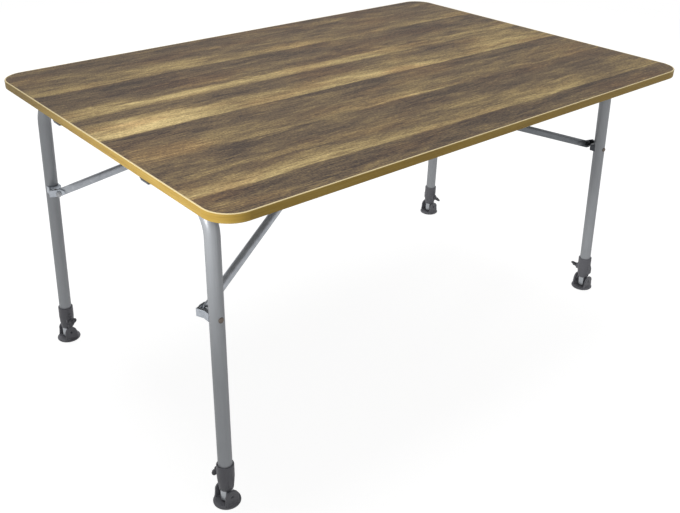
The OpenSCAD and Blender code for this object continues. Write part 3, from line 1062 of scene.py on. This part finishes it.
@dataclass(frozen=True)
class WingScrew:
    """A clamp's moulded wing screw, with a waisted hub and two round wings.

    Sizes are in millimetres, and heights run along the screw from the leg's axis.

    Attributes:
        corner: The corner that it belongs to.
        thread_r: Radius of its thread.
        thread_start: Height of the thread's inner end.
        hub_start: Height of the hub's foot.
        hub_end: Height of the hub's crown.
        hub_r: Radius of the hub at its foot.
        foot_h: Length of the foot's straight side.
        waist_r: Radius of the hub at its waist.
        shoulder_r: Radius of the hub between the wings.
        shoulder_h: Height of that place.
        crown_r: Radius of the hub at its crown.
        wing_h: Height of the wings' middle.
        wing_r: Radius of each wing.
        wing_t: Half thickness of each wing.
        web_t: Thickness of the web from the hub to each wing.
        web_l: Length of the web along the screw.
        web_drop: How far the web's middle lies below the wings' middle.
        spread: Distance of the wings' middles from the screw's axis.
        turn: Turn of the wings from level in degrees.
        facets: Number of facets round the hub.
        wing_facets: Numbers of facets round each wing and from pole to pole.
        voxel: Grid of the moulded skin.
        passes: Number of times that the skin is smoothed.
    """

    corner: Corner
    thread_r: float = 3.0
    thread_start: float = 11.4
    hub_start: float = 19.4
    hub_end: float = 32.0
    hub_r: float = 5.4
    foot_h: float = 1.5
    waist_r: float = 4.3
    shoulder_r: float = 4.6
    shoulder_h: float = 29.5
    crown_r: float = 3.1
    wing_h: float = 28.0
    wing_r: float = 5.8
    wing_t: float = 3.4
    web_t: float = 3.74
    web_l: float = 8.12
    web_drop: float = 1.5
    spread: float = 7.2
    turn: float = 41.0
    facets: int = 40
    wing_facets: tuple[int, int] = (32, 20)
    voxel: float = 0.4
    passes: int = 4

    def placement(self) -> Matrix:
        """Works out the screw's frame from its joint.

        Returns:
            A matrix with Z along the screw and X along the wings.
        """
        origin, along = joint_place(self.corner.place + "_wing_screw_turn")
        turn = math.radians(self.turn)
        sign = -1 if self.corner.end is End.RIGHT else 1
        wings = Vector((sign * math.cos(turn), 0.0, math.sin(turn)))
        wings = (wings - along * wings.dot(along)).normalized()
        return placed(origin, wings, along)

    def shape(self) -> Shape:
        """Models the hub and the wings as overlapping forms.

        Returns:
            The forms, in the screw's own frame and in metres.
        """
        shape = bmesh.new()
        profile = [
            (0.0, self.thread_start),
            (self.thread_r, self.thread_start),
            (self.thread_r, self.hub_start),
            (self.hub_r, self.hub_start),
            (self.hub_r, self.hub_start + self.foot_h),
            (self.waist_r, (self.hub_start + self.hub_end) / 2),
            (self.shoulder_r, self.shoulder_h),
            (self.crown_r, self.hub_end),
            (0.0, self.hub_end),
        ]
        points = [shape.verts.new((r * MM, 0.0, h * MM)) for r, h in profile]
        edges = [shape.edges.new(pair) for pair in zip(points, points[1:])]
        bmesh.ops.spin(
            shape,
            geom=points + edges,
            cent=(0.0, 0.0, 0.0),
            axis=(0.0, 0.0, 1.0),
            angle=math.tau,
            steps=self.facets,
            use_merge=True,
            use_duplicate=False,
        )
        for sign in (-1, 1):
            middle = Vector((sign * self.spread, 0.0, self.wing_h))
            bmesh.ops.create_uvsphere(
                shape,
                u_segments=self.wing_facets[0],
                v_segments=self.wing_facets[1],
                radius=1.0,
                matrix=sized(middle, (self.wing_r, self.wing_t, self.wing_r)),
            )
            web = Vector((middle.x / 2, 0.0, self.wing_h - self.web_drop))
            bmesh.ops.create_cube(
                shape, size=1.0, matrix=sized(web, (self.spread, self.web_t, self.web_l))
            )
        bmesh.ops.remove_doubles(shape, verts=shape.verts[:], dist=WELD)
        bmesh.ops.recalc_face_normals(shape, faces=shape.faces[:])
        return shape

    def build(self, finish: bpy.types.Material) -> None:
        """Moulds the screw and sets it in its clamp.

        Args:
            finish: Its material.
        """
        shape = self.shape()
        bmesh.ops.transform(shape, matrix=self.placement(), verts=shape.verts[:])
        node = self.corner.place + "_wing_screw"
        mesh = fused(shape, node + "_moulded", self.voxel, self.passes)
        add_piece(mesh, finish, node, node)


@dataclass(frozen=True)
class PressedBracket:
    """A leg's bracket, pressed from thick sheet, with the soft edges of the press.

    Attributes:
        corner: The corner that it belongs to.
        height: Share of its solid's height that the pressing has.
        lift: How far the pressing sits above its solid's middle, in millimetres.
        voxel: Grid of its skin in millimetres.
        passes: Number of times that the skin is smoothed.
    """

    corner: Corner
    height: float = 0.6
    lift: float = 1.5
    voxel: float = 0.45
    passes: int = 3

    def build(self, finish: bpy.types.Material) -> None:
        """Presses the bracket and sets it on its leg.

        Args:
            finish: Its material.
        """
        node = self.corner.place + "_bracket"
        low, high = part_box(node)
        middle = (low + high) / 2
        shape = merged_copy(node)
        bmesh.ops.scale(
            shape,
            vec=(1.0, 1.0, self.height),
            space=Matrix.Translation(-middle),
            verts=shape.verts[:],
        )
        bmesh.ops.translate(shape, vec=(0.0, 0.0, self.lift * MM), verts=shape.verts[:])
        mesh = fused(shape, node + "_pressed", self.voxel, self.passes)
        add_piece(mesh, finish, self.corner.frame_body, node)


@dataclass(frozen=True)
class Moulding:
    """A moulded CAD piece again, with the soft edges and fillets that its mould leaves.

    Attributes:
        node: The CAD node that the copy stands for.
        body: The body that it rides on.
        voxel: Grid of its skin in millimetres.
        passes: Number of times that the skin is smoothed.
    """

    node: str
    body: str
    voxel: float = 0.6
    passes: int = 2

    def build(self, finish: bpy.types.Material) -> None:
        """Moulds the copy.

        Args:
            finish: Its material.
        """
        shape = merged_copy(self.node)
        mesh = fused(shape, self.node + "_moulded", self.voxel, self.passes)
        add_piece(mesh, finish, self.body, self.node)


@dataclass(frozen=True)
class Leg:
    """One corner's leg: its clamp, inner tube, foot and bracket.

    Attributes:
        corner: The corner that it stands at.
        fastener_radius: Radius on the bolts' and pins' edges in millimetres.
    """

    corner: Corner
    fastener_radius: float = 0.4

    def build(self, wardrobe: Wardrobe) -> None:
        """Dresses and rounds the leg's pieces.

        Args:
            wardrobe: The finishes.
        """
        place, leg_body = self.corner.place, self.corner.frame_body
        foot_body = place + "_foot"
        dark = self.corner.end is End.RIGHT
        wardrobe.dress(place + "_inner_leg", Slot.INNER_TUBE)
        for name, body in (("_sleeve", leg_body), ("_foot", foot_body)):
            Moulding(place + name, body).build(wardrobe.by_slot[Slot.MOULDED])
        WingScrew(self.corner).build(wardrobe.wing)
        # Lit and shaded copies of one bracket: the left end's lighter zinc is painted light, the
        # right end's nearly black steel painted shade
        bracket = wardrobe.black if dark else wardrobe.by_slot[Slot.BRACKET]
        PressedBracket(self.corner).build(bracket)
        for name, body, finish in (
            ("_foot_pin", foot_body, wardrobe.black),
            ("_leg_bolt", leg_body, wardrobe.rivet),
            # At the right end the pivot bolt is nearly black: painted shade
            ("_pivot_bolt", leg_body, wardrobe.black if dark else None),
        ):
            bolt = RoundedCopy(place + name, body, Slot.FASTENER, self.fastener_radius)
            bolt.build(wardrobe, finish)


@dataclass(frozen=True)
class Strut:
    """One strut with its hook: a round tube that is pressed flat round its pivot.

    Sizes are in millimetres, and distances run along the strut from its pivot.

    Attributes:
        corner: The corner that it braces.
        hook_radius: Radius on the hook's edges.
        tube_r: Radius of the tube.
        tip: Distance of the flat end's tip behind the pivot.
        flat_t: Thickness of the flat end.
        flat_end: Distance at which the flat part ends.
        round_start: Distance at which the tube is round.
        ring_gap: Distance between the rings of the pressed part.
        segments: Number of facets round the tube.
        rim_depth: Depth of the band of points that marks the solid's far end.
    """

    corner: Corner
    hook_radius: float = 0.6
    tube_r: float = 8.0
    tip: float = 7.6
    flat_t: float = 3.0
    flat_end: float = 13.0
    round_start: float = 36.0
    ring_gap: float = 1.6
    segments: int = 48
    rim_depth: float = 0.1

    def pressed(self, place: Vector) -> Vector:
        """Moves a point of the round tube to where the press leaves it.

        Args:
            place: The point, with Z along the strut and X along the pivot's axis, in metres.

        Returns:
            The point on the pressed tube.
        """
        half, along = self.flat_t / 2 * MM, place.z / MM
        share = min(max((along - self.flat_end) / (self.round_start - self.flat_end), 0.0), 1.0)
        share = share * share * (3 - 2 * share)
        flat = min(max(place.x, -half), half)
        narrowing = math.sqrt(max(0.0, 1 - (min(along, 0.0) / self.tube_r) ** 2))
        return Vector((flat + (place.x - flat) * share, place.y * narrowing, place.z))

    def tube(self, name: str) -> bpy.types.Mesh:
        """Presses the tube's end.

        Args:
            name: The strut's CAD node.

        Returns:
            The closed tube in its place.
        """
        pivot, swing = joint_place(name + "_swing")
        places = [vertex.co for vertex in frame["nodes"][name].data.vertices]
        reach = max((place - pivot).length for place in places)
        rim = [place for place in places if (place - pivot).length > reach - self.rim_depth * MM]
        run = sum(rim, Vector()) / len(rim) - pivot
        along = run.normalized()
        length = run.length + self.tip * MM
        shape = bmesh.new()
        bmesh.ops.create_cone(
            shape,
            cap_ends=True,
            segments=self.segments,
            radius1=self.tube_r * MM,
            radius2=self.tube_r * MM,
            depth=length,
            matrix=Matrix.Translation((0.0, 0.0, length / 2 - self.tip * MM)),
        )
        cuts = int((self.tip + self.round_start) / self.ring_gap)
        for i in range(1, cuts + 1):
            bmesh.ops.bisect_plane(
                shape,
                geom=shape.verts[:] + shape.edges[:] + shape.faces[:],
                plane_co=(0.0, 0.0, (i * self.ring_gap - self.tip) * MM),
                plane_no=(0.0, 0.0, 1.0),
            )
        for vertex in shape.verts:
            vertex.co = self.pressed(vertex.co)
        bmesh.ops.remove_doubles(shape, verts=shape.verts[:], dist=WELD)
        bmesh.ops.transform(shape, matrix=placed(pivot, swing, along), verts=shape.verts[:])
        bmesh.ops.recalc_face_normals(shape, faces=shape.faces[:])
        return smooth_mesh(shape, name + "_pressed")

    def build(self, wardrobe: Wardrobe) -> None:
        """Presses the strut's tube and rounds its hook.

        Args:
            wardrobe: The finishes.
        """
        name = self.corner.place + "_strut"
        dark = self.corner.end is End.RIGHT
        # The right end's struts take the darker copy of the zinc tube: painted shade
        finish = wardrobe.shaded_tube if dark else wardrobe.by_slot[Slot.STRUT_TUBE]
        add_piece(self.tube(name), finish, name, name)
        hook = self.corner.place + "_hook"
        RoundedCopy(hook, name, Slot.PRESSED, self.hook_radius).build(wardrobe)


@dataclass(frozen=True)
class Lamp:
    """A lamp of the studio.

    Attributes:
        name: The lamp's name.
        place: Where it hangs, in metres.
        power: Its power in watts.
        target: The point that it faces, in metres.
    """

    name: str
    place: Point
    power: float
    target: Point = (0.0, 0.0, TOP)

    def ray(self) -> Vector:
        """Measures the way from the lamp to its target."""
        return Vector(self.target) - Vector(self.place)

    def hang(self, light: bpy.types.Light) -> None:
        """Puts the lamp in its place.

        Args:
            light: Its light.
        """
        light.energy = self.power
        holder = bpy.data.objects.new(self.name, light)
        bpy.context.scene.collection.objects.link(holder)
        holder.location = self.place
        holder.rotation_euler = self.ray().to_track_quat("-Z", "Y").to_euler()


@dataclass(frozen=True)
class Softbox(Lamp):
    """A square lamp.

    Attributes:
        size: Length of its sides in metres.
    """

    size: float = 1.6

    def build(self) -> None:
        """Makes the lamp and hangs it."""
        light = bpy.data.lights.new(self.name, "AREA")
        light.shape = "SQUARE"
        light.size = self.size
        self.hang(light)


@dataclass(frozen=True)
class Beam(Lamp):
    """A narrow lamp with a soft edge, such as daylight through a window at one side.

    Attributes:
        reach: Radius of its patch of light round the target, in metres.
        softness: Share of the patch over which its edge fades.
        radius: Radius of the lamp itself in metres.
    """

    reach: float = 0.66
    softness: float = 0.5
    radius: float = 0.12

    def build(self) -> None:
        """Makes the lamp and hangs it."""
        light = bpy.data.lights.new(self.name, "SPOT")
        light.shadow_soft_size = self.radius
        light.spot_size = 2 * math.atan2(self.reach, self.ray().length)
        light.spot_blend = self.softness
        self.hang(light)


@dataclass(frozen=True)
class Studio:
    """The camera, the lamps, the floor and the backdrop.

    The camera comes from a fit of the table's corners and feet to the photograph.

    Attributes:
        eye: The camera's place in metres.
        heading: Its direction in plan, in degrees from +X towards +Y.
        fall: Its direction below the horizon, in degrees.
        roll: Its turn about its own axis, in degrees.
        focal_px: Its focal length in pixels of the photograph.
        width_px: The photograph's width in pixels.
        sensor: Width of the camera's sensor in millimetres.
        clip: Distances in metres between which the camera sees.
        world_light: Strength of the even light from all round.
        floor_lit: The floor's colour for light that it throws back, as sRGB hex.
        floor_seen: The floor's colour for rays that see it, as sRGB hex.
        floor_size: Length of the floor's sides in metres.
        near_glow: Strength of the floor's own white near the table, for rays that see it.
        near_share: Share of that white near the table. The rest takes light and shadow.
        fade_start: Distance in metres at which the floor starts to fade into the backdrop.
        fade_end: Distance at which it is as white as the backdrop.
        lamps: The softboxes and the beam.
    """

    eye: Point = (-1.1006, -1.2500, 1.0877)
    heading: float = 49.3045
    fall: float = 29.2549
    roll: float = 1.1507
    focal_px: float = 841.0
    width_px: float = 680.0
    sensor: float = 36.0
    clip: tuple[float, float] = (0.05, 200.0)
    world_light: float = 0.2
    floor_lit: str = "#c0c0bf"
    floor_seen: str = "#f3f3f2"
    floor_size: float = 160.0
    near_glow: float = 1.46
    near_share: float = 0.62
    fade_start: float = 1.2
    fade_end: float = 3.6
    lamps: tuple[Softbox | Beam, ...] = (
        Softbox("front_fill", (0.9, -3.0, 1.5), 3.0),
        Softbox("top_light", (0.1, 0.7, 3.2), 54.0, size=2.4),
        Beam("left_window", (-1.9, -0.52, 1.0), 84.0, (-0.575, -0.33, 0.98)),
    )

    def camera(self) -> None:
        """Sets the camera at the photograph's viewing angle."""
        heading, fall, roll = (math.radians(a) for a in (self.heading, -self.fall, self.roll))
        forward = Vector(
            (math.cos(fall) * math.cos(heading), math.cos(fall) * math.sin(heading), math.sin(fall))
        )
        data = bpy.data.cameras.new("camera")
        data.sensor_width = self.sensor
        data.lens = self.focal_px / self.width_px * self.sensor
        data.clip_start, data.clip_end = self.clip
        camera = bpy.data.objects.new("camera", data)
        bpy.context.scene.collection.objects.link(camera)
        level = forward.to_track_quat("-Z", "Y").to_matrix().to_4x4()
        turn = Matrix.Rotation(roll, 4, "Z")
        camera.matrix_world = Matrix.Translation(self.eye) @ level @ turn
        bpy.context.scene.camera = camera

    def seen_by_eye(self, tree: Tree) -> Socket:
        """Tells the rays that show the background.

        Args:
            tree: The node tree.

        Returns:
            1 for a camera, glossy or transmission ray, and 0 for light on the object.
        """
        path = add_node(tree, "LightPath")
        total = path.outputs["Is Camera Ray"]
        for name in ("Is Glossy Ray", "Is Transmission Ray"):
            total = add_node(
                tree,
                "Math",
                {"operation": "MAXIMUM"},
                {0: total, 1: path.outputs[name]},
            ).outputs[0]
        return total

    def world(self) -> None:
        """Fills the studio with plain light and shows a white backdrop."""
        world = bpy.data.worlds.new("studio")
        bpy.context.scene.world = world
        world.use_nodes = True
        tree = world.node_tree
        tree.nodes.clear()
        strength = add_node(
            tree,
            "MapRange",
            {"To Min": self.world_light},
            {"Value": self.seen_by_eye(tree)},
        )
        background = add_node(
            tree,
            "Background",
            {"Color": linear("#ffffff")},
            {"Strength": strength.outputs["Result"]},
        )
        add_node(tree, "OutputWorld", links={"Surface": background.outputs["Background"]})

    def floor(self) -> None:
        """Lays a pale floor that takes a soft shadow and fades into the backdrop."""
        shape = bmesh.new()
        bmesh.ops.create_grid(shape, x_segments=1, y_segments=1, size=self.floor_size / 2)
        mesh = bpy.data.meshes.new("floor")
        shape.to_mesh(mesh)
        shape.free()
        floor = bpy.data.objects.new("floor", mesh)
        bpy.context.scene.collection.objects.link(floor)
        material, tree, shader = new_material("white_studio_floor")
        eye = self.seen_by_eye(tree)
        paint = add_node(
            tree,
            "Mix",
            {"data_type": "RGBA", 6: linear(self.floor_lit), 7: linear(self.floor_seen)},
            {0: eye},
        )
        tree.links.new(paint.outputs[2], shader.inputs["Base Color"])
        set_shader(shader, {"Roughness": 0.9, "Specular IOR Level": 0.1})
        place = add_node(tree, "TexCoord").outputs["Object"]
        distance = add_node(tree, "VectorMath", {"operation": "LENGTH"}, {0: place})
        strength, share = (
            add_node(
                tree,
                "MapRange",
                {
                    "interpolation_type": "SMOOTHSTEP",
                    "From Min": self.fade_start,
                    "From Max": self.fade_end,
                    "To Min": near,
                    "To Max": 1.0,
                },
                {"Value": distance.outputs["Value"]},
            ).outputs["Result"]
            for near in (self.near_glow, self.near_share)
        )
        seen_share = add_node(tree, "Math", {"operation": "MULTIPLY"}, {0: share, 1: eye})
        glow = add_node(tree, "Emission", {"Color": linear("#ffffff")}, {"Strength": strength})
        mixed = add_node(
            tree,
            "MixShader",
            links={
                0: seen_share.outputs[0],
                1: shader.outputs["BSDF"],
                2: glow.outputs["Emission"],
            },
        )
        output = next(n for n in tree.nodes if n.type == "OUTPUT_MATERIAL")
        tree.links.new(mixed.outputs["Shader"], output.inputs["Surface"])
        mesh.materials.append(material)

    def build(self) -> None:
        """Sets up the whole studio."""
        self.camera()
        self.world()
        self.floor()
        for lamp in self.lamps:
            lamp.build()
        bpy.context.scene.view_settings.view_transform = "Standard"
        log.info("studio is set with %d lamps", len(self.lamps))


def main() -> None:
    """Builds the studio and dresses the table, one sub-assembly after another."""
    logging.basicConfig(level=logging.INFO, format="%(name)s: %(message)s")
    Studio().build()
    wardrobe = Wardrobe(TOP)
    parts: list[TableTop | LegFrame | Leg | Strut] = [TableTop()]
    parts += [LegFrame(end) for end in End]
    for corner in CORNERS:
        parts += [Leg(corner), Strut(corner)]
    for part in parts:
        part.build(wardrobe)


if __name__ == "__main__":
    main()
